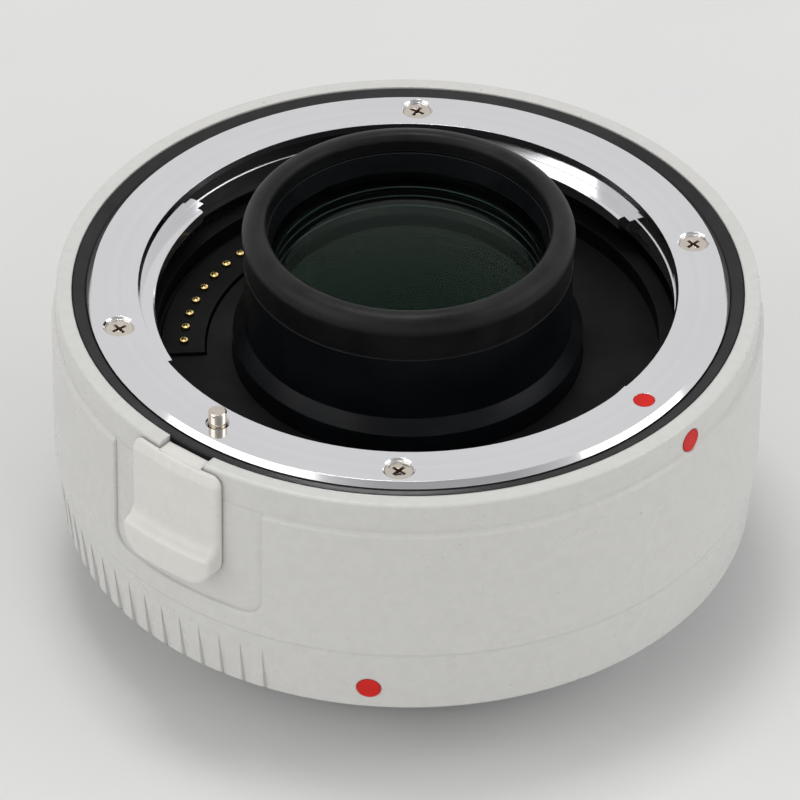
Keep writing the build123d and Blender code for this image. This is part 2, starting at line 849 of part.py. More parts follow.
def lever_outline_prism():
    """The lever's front outline, swept outward: small upper corners and large lower ones."""
    half = lever_half_width
    top = lever_high
    low = lever_low
    upper = lever_top_corner
    lower = lever_foot_corner
    turn_share = 1 - math.sqrt(0.5)
    outline = make_face(
        Line((-half + lower, low), (half - lower, low))
        + ThreePointArc(
            (half - lower, low), (half - lower * turn_share, low + lower * turn_share), (half, low + lower)
        )
        + Line((half, low + lower), (half, top - upper))
        + ThreePointArc(
            (half, top - upper), (half - upper * turn_share, top - upper * turn_share), (half - upper, top)
        )
        + Line((half - upper, top), (-half + upper, top))
        + ThreePointArc(
            (-half + upper, top), (-half + upper * turn_share, top - upper * turn_share), (-half, top - upper)
        )
        + Line((-half, top - upper), (-half, low + lower))
        + ThreePointArc(
            (-half, low + lower), (-half + lower * turn_share, low + lower * turn_share), (-half + lower, low)
        )
    )
    plane = Plane(origin=(0, 0, 0), x_dir=(0, 1, 0), z_dir=(1, 0, 0))
    return extrude(plane * outline, lip_radius + overrun)


def front_baffle():
    """The matt black dish, with a ledge under the bayonet and a skirt that stands on the web."""
    floor_low = dish_floor - dish_thickness
    skirt_bore = dish_radius - dish_thickness
    dish = turned([
        (collar_radius + fit_gap, floor_low),
        (skirt_bore, floor_low),
        (skirt_bore, chassis_web_high),
        (dish_radius, chassis_web_high),
        (dish_radius, dish_ledge),
        (dish_bore, dish_ledge),
        (dish_bore, dish_floor),
        (collar_radius + fit_gap, dish_floor),
    ])
    margin = block_end_sweep + block_window_margin
    window = ring(
        block_inner_radius - pass_gap,
        block_outer_radius + pass_gap,
        floor_low - overrun,
        dish_floor + overrun,
        contact_first_angle - margin,
        contact_sweep + 2 * margin,
    )
    return dish - window


def front_contact_block():
    start = contact_first_angle - block_end_sweep
    arc = contact_sweep + 2 * block_end_sweep
    block = ring(block_inner_radius, block_outer_radius, board_high, block_high, start, arc)
    for angle in contact_angles:
        place = polar(angle, contact_circle_radius)
        block -= place * rod(pin_bore_radius, board_high - overrun, block_high - block_roof)
        block -= place * rod(pin_radius + slide_gap, board_high, block_high + overrun)
    return block


def contact_pin(angle):
    top = block_high + pin_stroke_height
    collar_high = block_high - block_roof - slide_gap
    collar_low = collar_high - pin_collar_height
    face = make_face(Plane.XZ * (
        Polyline(
            (0, top), (0, collar_low - pin_tail_length), (pin_tail_radius, collar_low - pin_tail_length),
            (pin_tail_radius, collar_low), (pin_collar_radius, collar_low), (pin_collar_radius, collar_high),
            (pin_radius, collar_high), (pin_radius, top - pin_radius),
        )
        + RadiusArc((pin_radius, top - pin_radius), (0, top), pin_radius)
    ))
    return polar(angle, contact_circle_radius) * revolve(face, Axis.Z)


def contact_spring(angle):
    low = board_high + fit_gap
    high = block_high - block_roof - slide_gap - pin_collar_height - fit_gap
    bore = contact_spring_radius - contact_spring_wire
    return polar(angle, contact_circle_radius) * ring(bore, contact_spring_radius, low, high)


def circuit_board():
    return ring(board_inner_radius, board_outer_radius, chassis_web_high, board_high)


def circuit_chips():
    half_width = chip_width / 2
    half_length = chip_length / 2
    chip = slab(
        (chip_circle_radius - half_width, -half_length, board_high),
        (chip_circle_radius + half_width, half_length, board_high + chip_height),
    )
    return [Rot(0, 0, angle) * chip for angle in chip_angles]


def front_cell():
    """The nose tube with its collar, a neck below it and the bore for the front group."""
    slope_high = collar_high + collar_slope_height
    return turned([
        (cell_ledge_bore, cell_neck_low),
        (cell_neck_radius, cell_neck_low),
        (cell_neck_radius, chassis_web_high),
        (collar_radius, chassis_web_high),
        (collar_radius, collar_high),
        (nose_radius, slope_high),
        (nose_radius, nose_shoulder),
        (nose_neck_radius, nose_shoulder),
        (nose_neck_radius, nose_high),
        (cell_bore, nose_high),
        (cell_bore, cell_ledge),
        (cell_ledge_bore, cell_ledge),
    ])


def bumper_ring():
    """The rubber ring, rounded over the end of the nose."""
    bore = nose_neck_radius + fit_gap
    crest = (bumper_crest_radius, bumper_high)
    outer_turn = (
        bumper_crest_radius + (bumper_radius - bumper_crest_radius) * math.sqrt(0.5),
        bumper_widest + (bumper_high - bumper_widest) * math.sqrt(0.5),
    )
    inner_turn = (
        bumper_crest_radius - (bumper_crest_radius - bumper_bore) * math.sqrt(0.5),
        bumper_lip_high + (bumper_high - bumper_lip_high) * math.sqrt(0.5),
    )
    face = make_face(Plane.XZ * (
        Polyline(
            (bore, nose_shoulder), (bumper_radius - rim_fillet, nose_shoulder), (bumper_radius, bumper_widest)
        )
        + ThreePointArc((bumper_radius, bumper_widest), outer_turn, crest)
        + ThreePointArc(crest, inner_turn, (bumper_bore, bumper_lip_high))
        + Polyline(
            (bumper_bore, bumper_lip_high), (bumper_bore, nose_high), (bore, nose_high), (bore, nose_shoulder)
        )
    ))
    return revolve(face, Axis.Z)


def front_retaining_ring():
    return turned([
        (ring_bore_low, front_element_high),
        (cell_bore - fit_gap, front_element_high),
        (cell_bore - fit_gap, ring_high),
        (ring_bore_high, ring_high),
    ])


def bowed_face(radius, height, bow):
    """A spherical face's half section, from the axis to its rim, bow above the rim at its centre."""
    sphere = (radius ** 2 + bow ** 2) / (2 * bow)
    half_drop = sphere - math.copysign(math.sqrt(sphere ** 2 - (radius / 2) ** 2), sphere)
    return ThreePointArc((0, height + bow), (radius / 2, height + bow - half_drop), (radius, height))


def element(radius, low, high, low_bow, high_bow):
    """A lens element with a flat rim round each bowed face."""
    clear = radius - element_rim
    face = make_face(Plane.XZ * (
        bowed_face(clear, low, low_bow)
        + Polyline((clear, low), (radius, low), (radius, high), (clear, high))
        + bowed_face(clear, high, high_bow)
        + Line((0, high + high_bow), (0, low + low_bow))
    ))
    return revolve(face, Axis.Z)


def front_group_radius():
    return cell_bore - fit_gap


def front_element():
    return element(
        front_group_radius(),
        front_element_low,
        front_element_high,
        front_element_back_bow,
        front_element_bow,
    )


def front_spacer():
    radius = front_group_radius()
    return ring(radius - spacer_wall, radius, middle_front_high, front_element_low)


def middle_front_element():
    return element(front_group_radius(), middle_front_low, middle_front_high, cement_bow, middle_front_bow)


def middle_rear_element():
    return element(front_group_radius(), cell_ledge, middle_front_low, middle_rear_bow, cement_bow)


def rear_cell():
    """The rear tube: a socket over the front cell's neck, then the bore for the rear group."""
    return turned([
        (rear_cell_bore, rear_cell_low),
        (rear_cell_nose_radius, rear_cell_low),
        (rear_cell_nose_radius, chassis_base_high),
        (rear_cell_radius, chassis_base_high),
        (rear_cell_radius, chassis_web_low),
        (cell_neck_radius + fit_gap, chassis_web_low),
        (cell_neck_radius + fit_gap, cell_neck_low),
        (rear_cell_ledge_bore, cell_neck_low),
        (rear_cell_ledge_bore, rear_cell_ledge),
        (rear_cell_bore, rear_cell_ledge),
    ])


def rear_group_radius():
    return rear_cell_bore - fit_gap


def rear_group_element():
    radius = rear_group_radius()
    return element(radius, rear_front_low, rear_cell_ledge, rear_front_back_bow, rear_front_bow)


def rear_spacer():
    radius = rear_group_radius()
    return ring(radius - element_rim, radius, rear_element_high, rear_front_low)


def rear_element():
    return element(
        rear_group_radius(), rear_element_low, rear_element_high, rear_element_back_bow, rear_element_bow
    )


def rear_retaining_ring():
    return ring(rear_ring_bore, rear_group_radius(), rear_ring_low, rear_element_low)


def rear_mount():
    """The male bayonet: a flange plate, a locating step, a tube and three tabs."""
    tab_high = -front_plate_thickness - claw_thickness - tab_gap
    plate = turned([
        (tube_bore, -tube_length + tube_chamfer),
        (tube_bore + tube_chamfer, -tube_length),
        (tube_radius - tube_chamfer, -tube_length),
        (tube_radius, -tube_length + tube_chamfer),
        (tube_radius, -locating_height),
        (locating_radius, -locating_height),
        (locating_radius, 0),
        (rear_plate_radius - front_plate_chamfer, 0),
        (rear_plate_radius, front_plate_chamfer),
        (rear_plate_radius, rear_plate_thickness),
        (tube_bore, rear_plate_thickness),
    ])
    for turn, sweep in zip(claw_turns, tab_sweeps):
        start = index_angle + turn + tab_margin
        plate += ring(tube_radius - fit_gap, tab_radius, tab_high - tab_thickness, tab_high, start, sweep)
    for place in rear_screw_places():
        plate -= place * flange_screw_hole(fit_gap)
    return plate - lock_pin_spot() * lock_slot_cutter()


def lock_slot_cutter():
    outline = SlotOverall(lock_slot_length, lock_slot_width)
    return extrude(Plane.XY.offset(-overrun) * outline, 2 * overrun + rear_plate_thickness)


def rear_mount_screws():
    return [place * Pos(0, 0, -fit_gap) * flange_screw() for place in rear_screw_places()]


def mount_gasket():
    inner = rear_plate_radius + fit_gap
    return turned([
        (inner, -gasket_lip / 2),
        ((inner + chassis_radius) / 2, -gasket_lip),
        (chassis_radius, -gasket_lip / 2),
        (chassis_radius, chassis_low),
        (inner, chassis_low),
    ])


def rear_block_start():
    return contact_first_angle - rear_block_end_sweep


def rear_block_sweep():
    return contact_sweep + 2 * rear_block_end_sweep


def rear_block_screw_places():
    first = contact_first_angle - rear_block_screw_sweep
    last = contact_first_angle + contact_sweep + rear_block_screw_sweep
    return [polar(angle, rear_block_screw_circle_radius) for angle in (first, last)]


def rear_contact_block():
    outer = tube_bore - fit_gap
    start = rear_block_start()
    block = ring(block_inner_radius, outer, rear_block_low, chassis_low, start, rear_block_sweep())
    seat_high = rear_block_low + small_head_height
    for place in rear_block_screw_places():
        block -= place * rod(small_shank_radius + fit_gap, rear_block_low - overrun, chassis_low + overrun)
        block -= place * rod(small_head_radius + fit_gap, rear_block_low - overrun, seat_high)
    pocket_high = rear_block_low + pad_thickness - pad_step_height
    for angle in contact_angles:
        pocket = rod(pad_radius + fit_gap, rear_block_low - overrun, pocket_high)
        block -= polar(angle, contact_circle_radius) * pocket
    return block


def rear_contact_pads():
    low = rear_block_low - pad_step_height
    pad = rod(pad_radius, low, low + pad_thickness)
    return [polar(angle, contact_circle_radius) * pad for angle in contact_angles]


def rear_block_screws():
    length = chassis_base_high - rear_block_low - small_head_height
    seat = Pos(0, 0, rear_block_low + small_head_height) * Rot(180, 0, 0)
    return [place * seat * small_screw(length) for place in rear_block_screw_places()]


def baffle_pillar_places():
    return [polar(angle, baffle_pillar_circle_radius) for angle in baffle_pillar_angles]


def rear_baffle():
    """The camera-side light baffle: a plate with a picture window, a wall and three pillars."""
    outer = tube_bore - fit_gap
    plate_high = rear_baffle_low + rear_baffle_thickness
    baffle = rod(outer, rear_baffle_low, plate_high)
    baffle += ring(outer - rear_baffle_wall, outer, rear_baffle_low, chassis_low)
    for place in baffle_pillar_places():
        baffle += place * rod(baffle_pillar_radius, rear_baffle_low, chassis_low)
    window = Rot(0, 0, index_angle + 90) * RectangleRounded(window_length, window_width, window_corner)
    window_plane = Plane.XY.offset(rear_baffle_low - overrun)
    baffle -= extrude(window_plane * window, rear_baffle_thickness + 2 * overrun)
    baffle -= ring(
        block_inner_radius - pass_gap, outer + overrun, rear_baffle_low - overrun, chassis_low + overrun,
        rear_block_start() - block_window_margin, rear_block_sweep() + 2 * block_window_margin,
    )
    seat_high = rear_baffle_low + small_head_height
    for place in baffle_pillar_places():
        baffle -= place * rod(small_shank_radius + fit_gap, rear_baffle_low - overrun, chassis_low + overrun)
        baffle -= place * rod(small_head_radius + fit_gap, rear_baffle_low - overrun, seat_high)
    return baffle


def rear_baffle_screws():
    length = chassis_base_high - rear_baffle_low - small_head_height
    seat = Pos(0, 0, rear_baffle_low + small_head_height) * Rot(180, 0, 0)
    return [place * seat * small_screw(length) for place in baffle_pillar_places()]


parts = {
    "outer_barrel": outer_barrel(),
    "trim_ring": trim_ring(),
    "index_marks": index_marks(),
    "chassis": chassis(),
    "front_mount": front_mount(),
    "front_mount_screws": front_mount_screws(),
    "bayonet_springs": bayonet_springs(),
    "bayonet_spring_rivets": bayonet_spring_rivets(),
    "release_lever": release_lever(),
    "release_bracket": release_bracket(),
    "release_bracket_screws": release_bracket_screws(),
    "release_guide_posts": release_guide_posts(),
    "release_springs": release_springs(),
    "lock_pin": lock_pin(),
    "front_baffle": front_baffle(),
    "front_contact_block": front_contact_block(),
    "circuit_board": circuit_board(),
    "circuit_chips": circuit_chips(),
    "flex_cable": flex_cable(),
    "front_cell": front_cell(),
    "bumper_ring": bumper_ring(),
    "front_retaining_ring": front_retaining_ring(),
    "front_element": front_element(),
    "front_spacer": front_spacer(),
    "middle_front_element": middle_front_element(),
    "middle_rear_element": middle_rear_element(),
    "rear_cell": rear_cell(),
    "rear_group_element": rear_group_element(),
    "rear_spacer": rear_spacer(),
    "rear_element": rear_element(),
    "rear_retaining_ring": rear_retaining_ring(),
    "rear_mount": rear_mount(),
    "rear_mount_screws": rear_mount_screws(),
    "mount_gasket": mount_gasket(),
    "rear_contact_block": rear_contact_block(),
    "rear_contact_pads": rear_contact_pads(),
    "rear_block_screws": rear_block_screws(),
    "rear_baffle": rear_baffle(),
    "rear_baffle_screws": rear_baffle_screws(),
}
for number, angle in enumerate(contact_angles, start=1):
    parts[f"contact_pin_{number}"] = contact_pin(angle)
    parts[f"contact_spring_{number}"] = contact_spring(angle)

os.makedirs("parts", exist_ok=True)
for name, shape in parts.items():
    pieces = shape if isinstance(shape, list) else [shape]
    solids = [solid for piece in pieces for solid in piece.solids()]
    export_step(solids[0] if len(solids) == 1 else Compound(children=solids), f"parts/{name}.step")
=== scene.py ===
import math

import bmesh
import bpy
from mathutils import Matrix, Vector


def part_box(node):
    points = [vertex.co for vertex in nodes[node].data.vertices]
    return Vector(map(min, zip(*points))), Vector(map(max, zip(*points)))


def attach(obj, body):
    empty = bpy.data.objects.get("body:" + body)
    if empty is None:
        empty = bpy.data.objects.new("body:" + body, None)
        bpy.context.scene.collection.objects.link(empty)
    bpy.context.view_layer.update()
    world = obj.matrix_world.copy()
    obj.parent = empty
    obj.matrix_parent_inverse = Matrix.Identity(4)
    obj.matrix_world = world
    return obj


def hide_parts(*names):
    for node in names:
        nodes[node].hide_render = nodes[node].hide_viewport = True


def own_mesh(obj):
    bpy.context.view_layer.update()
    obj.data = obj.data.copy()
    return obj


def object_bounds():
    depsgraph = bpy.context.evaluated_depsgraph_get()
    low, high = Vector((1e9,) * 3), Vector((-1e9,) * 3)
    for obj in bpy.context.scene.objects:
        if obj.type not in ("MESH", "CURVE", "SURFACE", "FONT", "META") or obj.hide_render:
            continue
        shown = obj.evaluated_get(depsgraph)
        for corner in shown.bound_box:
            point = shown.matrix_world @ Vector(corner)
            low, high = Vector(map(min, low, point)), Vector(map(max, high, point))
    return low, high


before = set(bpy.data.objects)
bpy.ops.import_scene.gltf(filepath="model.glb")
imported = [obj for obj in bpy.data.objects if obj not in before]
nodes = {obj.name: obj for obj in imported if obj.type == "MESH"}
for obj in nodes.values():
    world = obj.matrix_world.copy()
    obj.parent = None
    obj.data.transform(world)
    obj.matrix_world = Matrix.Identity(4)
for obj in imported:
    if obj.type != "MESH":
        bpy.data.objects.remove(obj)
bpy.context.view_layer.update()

# All lengths are in metres, written in millimetres
mm = 0.001

# The camera, as the photograph was taken, and what its lens and frame are
camera_elevation = math.radians(37.336)
camera_azimuth = math.radians(-6.6)
camera_roll = math.radians(0.598)
camera_distance = 852.3 * mm
aim_height = 27.2 * mm
picture_pixels = 800
focal_pixels = 8442.75
aim_right_pixels = 8.29
aim_up_pixels = 116.37
sensor_width = 36.0
camera_near = 50 * mm
camera_far = 20000 * mm

# Rows of a matrix that holds a turn and a place
matrix_size = 4

# Flange screws: where they sit and how they are turned, with angles in degrees
lens_face = 27.2 * mm
screw_circle = 29.9 * mm
screw_sink = 0.3 * mm
rear_screw_sink = 0.05 * mm
front_screw_angles = [8.0, 82.0, 188.0, 262.0]
front_screw_turns = [38.0, 52.0, 31.0, 42.0]
rear_screw_angles = [-90.0, 0.0, 90.0, 180.0]
rear_screw_turns = [12.0, 33.0, 70.0, 48.0]
head_down_tip = 180

# Flange screw, from the shank's end to the middle of its head, as radius and height
screw_steps = [
    (0.80 * mm, -3.00 * mm),
    (0.85 * mm, -2.90 * mm),
    (0.85 * mm, -0.80 * mm),
    (1.34 * mm, -0.20 * mm),
    (1.41 * mm, -0.12 * mm),
    (1.41 * mm, -0.07 * mm),
    (1.37 * mm, -0.02 * mm),
    (1.30 * mm, 0.0),
]
screw_sides = 48
recess_arm_width = 0.50 * mm
recess_arm_length = 0.90 * mm
recess_depth = 0.60 * mm
recess_taper = 0.42
recess_edge_round = 0.03 * mm
recess_edge_segments = 2
recess_edge_angle = 50
recess_reach = 1.0 * mm
arm_face_reach = recess_arm_width / 4

# The four ways in which the arms of a cross recess point
arm_ways = [(1, 0, 0), (-1, 0, 0), (0, 1, 0), (0, -1, 0)]

# Spacer behind the front element
spacer_groove_count = 3
spacer_groove_depth = 0.55 * mm
spacer_land = 0.14 * mm
spacer_wall = 1.4 * mm
ring_sides = 144

# Wound springs: the ones under the contact pins, each turned on from the last by some degrees, and the
# two on the release posts, which stand side by side
coil_sides = 10
coil_steps = 16
coil_turns = 7
coil_turn_step = 40
contact_count = 8
contact_wire = 0.19 * mm
release_wire = 0.32 * mm
release_coil_radius = 1.31 * mm
release_post_angle = math.radians(-135.2)
release_post_reach = 30.2 * mm
release_post_side = 4.4 * mm

# How close two points are one, and how directly a face looks one way to be chosen
merge_distance = 0.001 * mm
facing_limit = 0.9

# Angles up to which edges are smoothed, in degrees
screw_smooth_angle = 40
recess_smooth_angle = 30
spacer_smooth_angle = 25
coil_smooth_angle = 60

# Turns a flat hoop upright
quarter_turn = math.radians(90)

# Floor
floor_radius = 4000 * mm
floor_sides = 96
floor_grain_scale = 40
floor_grain_detail = 2
floor_roughness = 0.7

# The part of the studio above the camera, which is darker than the rest
dim_direction = (0.12, -0.60, 0.79)
dim_range = (0.78, 0.96)

# Colours, as linear red, green and blue
room_light = (0.56, 0.56, 0.56, 1.0)
room_seen = (0.76, 0.76, 0.77, 1.0)
room_dim = (0.40, 0.40, 0.41, 1.0)
floor_pale = (0.78, 0.78, 0.77, 1.0)
floor_dark = (0.76, 0.76, 0.755, 1.0)
paint_pale = (0.665, 0.66, 0.635, 1.0)
paint_dark = (0.635, 0.63, 0.605, 1.0)
paint_speck = (0.52, 0.51, 0.48, 1.0)
lever_pale = (0.76, 0.74, 0.70, 1.0)
lever_dark = (0.735, 0.715, 0.675, 1.0)
# Pale edges of dark finishes: wear, and on the anodised black a painted highlight
wear_and_highlight_colour = (0.12, 0.125, 0.13, 1.0)
dust_colour = (0.20, 0.195, 0.185, 1.0)
coating_colour = (0.45, 1.0, 0.65, 1.0)

# Paint: soft patches in two tones, and scattered specks
patch_scale = 900.0
patch_detail = 4
patch_roughness = 0.6
patch_range = (0.38, 0.66)
speck_scale = 700.0
speck_radius = 0.13
speck_limit = 0.72
paint_roughness = (0.25, 0.32)
paint_edge_radius = 0.3 * mm

# Rounded edges: samples of the rounding, and how far its normal turns where an edge is fully lightened, as
# wear and as painted highlight
edge_samples = 8
edge_range = (1.0, 0.75)

# Lathe lines: fine lines, and broad bands at a share of their scale
lines_per_metre = 9000.0
line_detail = 2
band_scale_share = 0.12
metal_tone_range = (0.15, 0.35)
line_depth = 0.01 * mm

# Grain of moulded or blasted surfaces, and the soft clouds that vary their tone
grain_detail = 3
grain_depth = 0.03 * mm
paint_grain_depth = 0.02 * mm
cloud_detail = 5
cloud_range = (0.35, 0.65)
wide_cloud_range = (0.3, 0.7)
whole_range = (0, 1)

# Dust: patches and motes, and how much lies on a face by how far it looks up
dust_patch_scale = 260
dust_patch_detail = 6
dust_patch_range = (0.42, 0.72)
dust_patch_share = 0.5
mote_scale = 2600
mote_range = (0.22, 0.1)
dust_slope_range = (0.1, 0.95)
dust_slope_share = (0.12, 1)

# Glass and enamel. The glass has a low index, so that it reflects as little as coated glass does
glass_index = 1.17
glass_roughness = (0.0, 0.015)
enamel_gloss = 0.2
enamel_roughness = (0.28, 0.38)
enamel_bump = 0.15

# Sockets of the Mix node for colours
mix_share_input = 0
mix_first_input = 6
mix_second_input = 7
mix_colour_output = 2

# Heights on the optical axis that the lamps aim at
low_aim = 15 * mm
high_aim = 20 * mm


def camera_axes():
    """The camera's right, up and back directions."""
    flat_right = Vector((math.cos(camera_azimuth), math.sin(camera_azimuth), 0))
    back = Vector((
        math.sin(camera_azimuth) * math.cos(camera_elevation),
        -math.cos(camera_azimuth) * math.cos(camera_elevation),
        math.sin(camera_elevation),
    ))
    flat_up = back.cross(flat_right)
    right = flat_right * math.cos(camera_roll) + flat_up * math.sin(camera_roll)
    up = flat_up * math.cos(camera_roll) - flat_right * math.sin(camera_roll)
    return right, up, back


def place_camera():
    """The camera at the photograph's viewing angle, with the photograph's frame."""
    right, up, back = camera_axes()
    spot = Vector((0, 0, aim_height)) + back * camera_distance
    turn = Matrix((right, up, back)).transposed().to_4x4()
    tilt = Matrix.Rotation(-math.atan(aim_up_pixels / focal_pixels), matrix_size, "X")
    pan = Matrix.Rotation(math.atan(aim_right_pixels / focal_pixels), matrix_size, "Y")
    bpy.ops.object.camera_add(location=spot)
    camera = bpy.context.active_object
    camera.name = "product_camera"
    camera.matrix_world = Matrix.Translation(spot) @ turn @ pan @ tilt
    camera.data.sensor_width = sensor_width
    camera.data.lens = focal_pixels * sensor_width / picture_pixels
    camera.data.clip_start = camera_near
    camera.data.clip_end = camera_far
    bpy.context.scene.camera = camera


def new_group(name, inputs, outputs):
    """An empty shader group with named sockets. Returns its tree, its entry and its exit."""
    tree = bpy.data.node_groups.new(name, "ShaderNodeTree")
    for label, kind, value in inputs:
        socket = tree.interface.new_socket(name=label, in_out="INPUT", socket_type=kind)
        socket.default_value = value
    for label, kind in outputs:
        tree.interface.new_socket(name=label, in_out="OUTPUT", socket_type=kind)
    entry = tree.nodes.new("NodeGroupInput")
    leave = tree.nodes.new("NodeGroupOutput")
    return tree, entry, leave


def add_node(tree, kind, **settings):
    """A new node with its settings."""
    node = tree.nodes.new(kind)
    for label, value in settings.items():
        setattr(node, label, value)
    return node


def join(tree, source, target):
    """Links one socket to another."""
    tree.links.new(source, target)


def feed(tree, value, socket):
    """Links a socket to another, or gives it a plain value."""
    if isinstance(value, bpy.types.NodeSocket):
        join(tree, value, socket)
    else:
        socket.default_value = value


def math_node(tree, operation, first, second):
    """A Math node whose two inputs are sockets or numbers."""
    node = add_node(tree, "ShaderNodeMath", operation=operation)
    feed(tree, first, node.inputs[0])
    feed(tree, second, node.inputs[1])
    return node.outputs[0]


def spread(tree, value, given, wanted=whole_range):
    """Maps a value's range onto another, and stops at its ends."""
    node = add_node(tree, "ShaderNodeMapRange", clamp=True)
    join(tree, value, node.inputs["Value"])
    node.inputs["From Min"].default_value = given[0]
    node.inputs["From Max"].default_value = given[1]
    node.inputs["To Min"].default_value = wanted[0]
    node.inputs["To Max"].default_value = wanted[1]
    return node.outputs["Result"]


def mixed_colour(tree, share, first, second):
    """The first colour where the share is 0, and the second where it is 1."""
    node = add_node(tree, "ShaderNodeMix", data_type="RGBA")
    join(tree, share, node.inputs[mix_share_input])
    feed(tree, first, node.inputs[mix_first_input])
    feed(tree, second, node.inputs[mix_second_input])
    return node.outputs[mix_colour_output]


def noise(tree, place, scale, detail, **settings):
    """A noise texture over a place. Its scale is a number or a socket."""
    node = add_node(tree, "ShaderNodeTexNoise", **settings)
    node.inputs["Detail"].default_value = detail
    join(tree, place, node.inputs["Vector"])
    feed(tree, scale, node.inputs["Scale"])
    return node


def object_place(tree):
    """The place on the object, in metres."""
    return add_node(tree, "ShaderNodeTexCoord").outputs["Object"]


def add_hoop(sides, radius, height, fill):
    """Adds a hoop round +Z, open or filled."""
    bpy.ops.object.select_all(action="DESELECT")
    bpy.ops.mesh.primitive_circle_add(vertices=sides, radius=radius, fill_type=fill, location=(0, 0, height))


def open_piece(name):
    """Names the primitive that was just added, puts its place in its mesh and opens it for editing."""
    piece = bpy.context.active_object
    piece.name = name
    piece.data.name = name
    bpy.ops.object.transform_apply(location=True, rotation=True, scale=True)
    bpy.ops.object.mode_set(mode="EDIT")
    bpy.ops.mesh.select_mode(type="VERT")
    return piece


def close_piece(smooth_angle):
    """Turns the faces outwards, leaves edit mode and smooths what is not a sharp edge."""
    bpy.ops.mesh.select_all(action="SELECT")
    bpy.ops.mesh.normals_make_consistent(inside=False)
    bpy.ops.object.mode_set(mode="OBJECT")
    bpy.ops.object.shade_smooth_by_angle(angle=math.radians(smooth_angle))


def pull_steps(steps):
    """Extrudes the selected loop or face through the steps, each a radius and a height."""
    radius, height = steps[0]
    for next_radius, next_height in steps[1:]:
        rise = (0, 0, next_height - height)
        bpy.ops.mesh.extrude_region_move(TRANSFORM_OT_translate={"value": rise})
        share = next_radius / radius
        bpy.ops.transform.resize(value=(share, share, 1), center_override=(0, 0, next_height))
        radius, height = next_radius, next_height


def turned_solid(name, steps, sides, smooth_angle):
    """A solid turned about +Z: a disc pulled up through the steps."""
    add_hoop(sides, *steps[0], "NGON")
    piece = open_piece(name)
    bpy.ops.mesh.select_all(action="SELECT")
    pull_steps(steps)
    close_piece(smooth_angle)
    return piece


def turned_ring(name, steps, sides, smooth_angle):
    """A ring turned about +Z: a hoop pulled through the steps and back to where it began."""
    add_hoop(sides, *steps[0], "NOTHING")
    piece = open_piece(name)
    bpy.ops.mesh.select_all(action="SELECT")
    pull_steps(steps + steps[:1])
    bpy.ops.mesh.select_all(action="SELECT")
    bpy.ops.mesh.remove_doubles(threshold=merge_distance)
    close_piece(smooth_angle)
    return piece


def choose_faces(piece, wanted):
    """Selects only the faces that wanted() says yes to."""
    bpy.ops.mesh.select_mode(type="FACE")
    bpy.ops.mesh.select_all(action="DESELECT")
    work = bmesh.from_edit_mesh(piece.data)
    for face in work.faces:
        if wanted(face):
            face.select_set(True)
    bmesh.update_edit_mesh(piece.data)


def cross_cutter():
    """The tapered cross that a screw head loses."""
    bpy.ops.object.select_all(action="DESELECT")
    size = (recess_arm_width, recess_arm_width, 2 * recess_depth)
    bpy.ops.mesh.primitive_cube_add(size=1, location=(0, 0, 0), scale=size)
    cutter = open_piece("cross_cutter")
    for way in arm_ways:
        across = Vector((way[1], way[0], 0))
        choose_faces(
            cutter,
            lambda face: face.normal.dot(Vector(way)) > facing_limit
            and abs(face.calc_center_median().dot(across)) < arm_face_reach,
        )
        step = Vector(way) * recess_arm_length
        bpy.ops.mesh.extrude_region_move(TRANSFORM_OT_translate={"value": step})
    choose_faces(cutter, lambda face: face.normal.z < -facing_limit)
    bpy.ops.transform.resize(value=(recess_taper, recess_taper, 1), center_override=(0, 0, -recess_depth))
    close_piece(recess_smooth_angle)
    return cutter


def flange_screw():
    """A countersunk screw with a tapered cross in its head."""
    screw = turned_solid("flange_screw", screw_steps, screw_sides, screw_smooth_angle)
    cutter = cross_cutter()
    cut = screw.modifiers.new("cross", "BOOLEAN")
    cut.operation = "DIFFERENCE"
    cut.solver = "EXACT"
    cut.object = cutter
    bpy.ops.object.select_all(action="DESELECT")
    bpy.context.view_layer.objects.active = screw
    screw.select_set(True)
    bpy.ops.object.modifier_apply(modifier="cross")
    rounding = screw.modifiers.new("soft_edge", "BEVEL")
    rounding.width = recess_edge_round
    rounding.segments = recess_edge_segments
    rounding.limit_method = "ANGLE"
    rounding.angle_limit = math.radians(recess_edge_angle)
    bpy.ops.object.modifier_apply(modifier="soft_edge")
    bpy.ops.object.shade_smooth_by_angle(angle=math.radians(screw_smooth_angle))
    bpy.data.objects.remove(cutter)
    screw.data.materials.append(finishes["screw_nickel"])
    # The recess walls get a dark brown finish: painted shade where light is trapped in the cross
    mark_faces(
        screw,
        lambda middle: middle.xy.length < recess_reach
        and -recess_depth < middle.z < -recess_edge_round,
        recess_painted_shade,
    )
    return screw


def place_copy(source, name, spot, tip=0, turn=0):
    """A copy with a mesh of its own, its place and turn in the mesh."""
    bpy.ops.object.select_all(action="DESELECT")
    piece = source.copy()
    piece.data = source.data.copy()
    piece.name = name
    piece.data.name = name
    bpy.context.collection.objects.link(piece)
    piece.location = spot
    piece.rotation_euler = (math.radians(tip), 0, math.radians(turn))
    piece.select_set(True)
    bpy.context.view_layer.objects.active = piece
    bpy.ops.object.transform_apply(location=True, rotation=True, scale=True)
    return piece


def join_pieces(name, pieces):
    """Joins pieces into one with a name of its own."""
    bpy.ops.object.select_all(action="DESELECT")
    for piece in pieces:
        piece.select_set(True)
    bpy.context.view_layer.objects.active = pieces[-1]
    bpy.ops.object.join()
    whole = bpy.context.active_object
    whole.name = name
    whole.data.name = name
    return whole


def set_of_screws(name, screw, angles, turns, height, tip):
    """Copies of a screw on the screw circle, as one piece. A tip of 180 degrees turns them head down."""
    copies = []
    for angle, turn in zip(angles, turns):
        around = math.radians(angle)
        spot = (screw_circle * math.cos(around), screw_circle * math.sin(around), height)
        copies.append(place_copy(screw, name, spot, tip, turn))
    return join_pieces(name, copies)


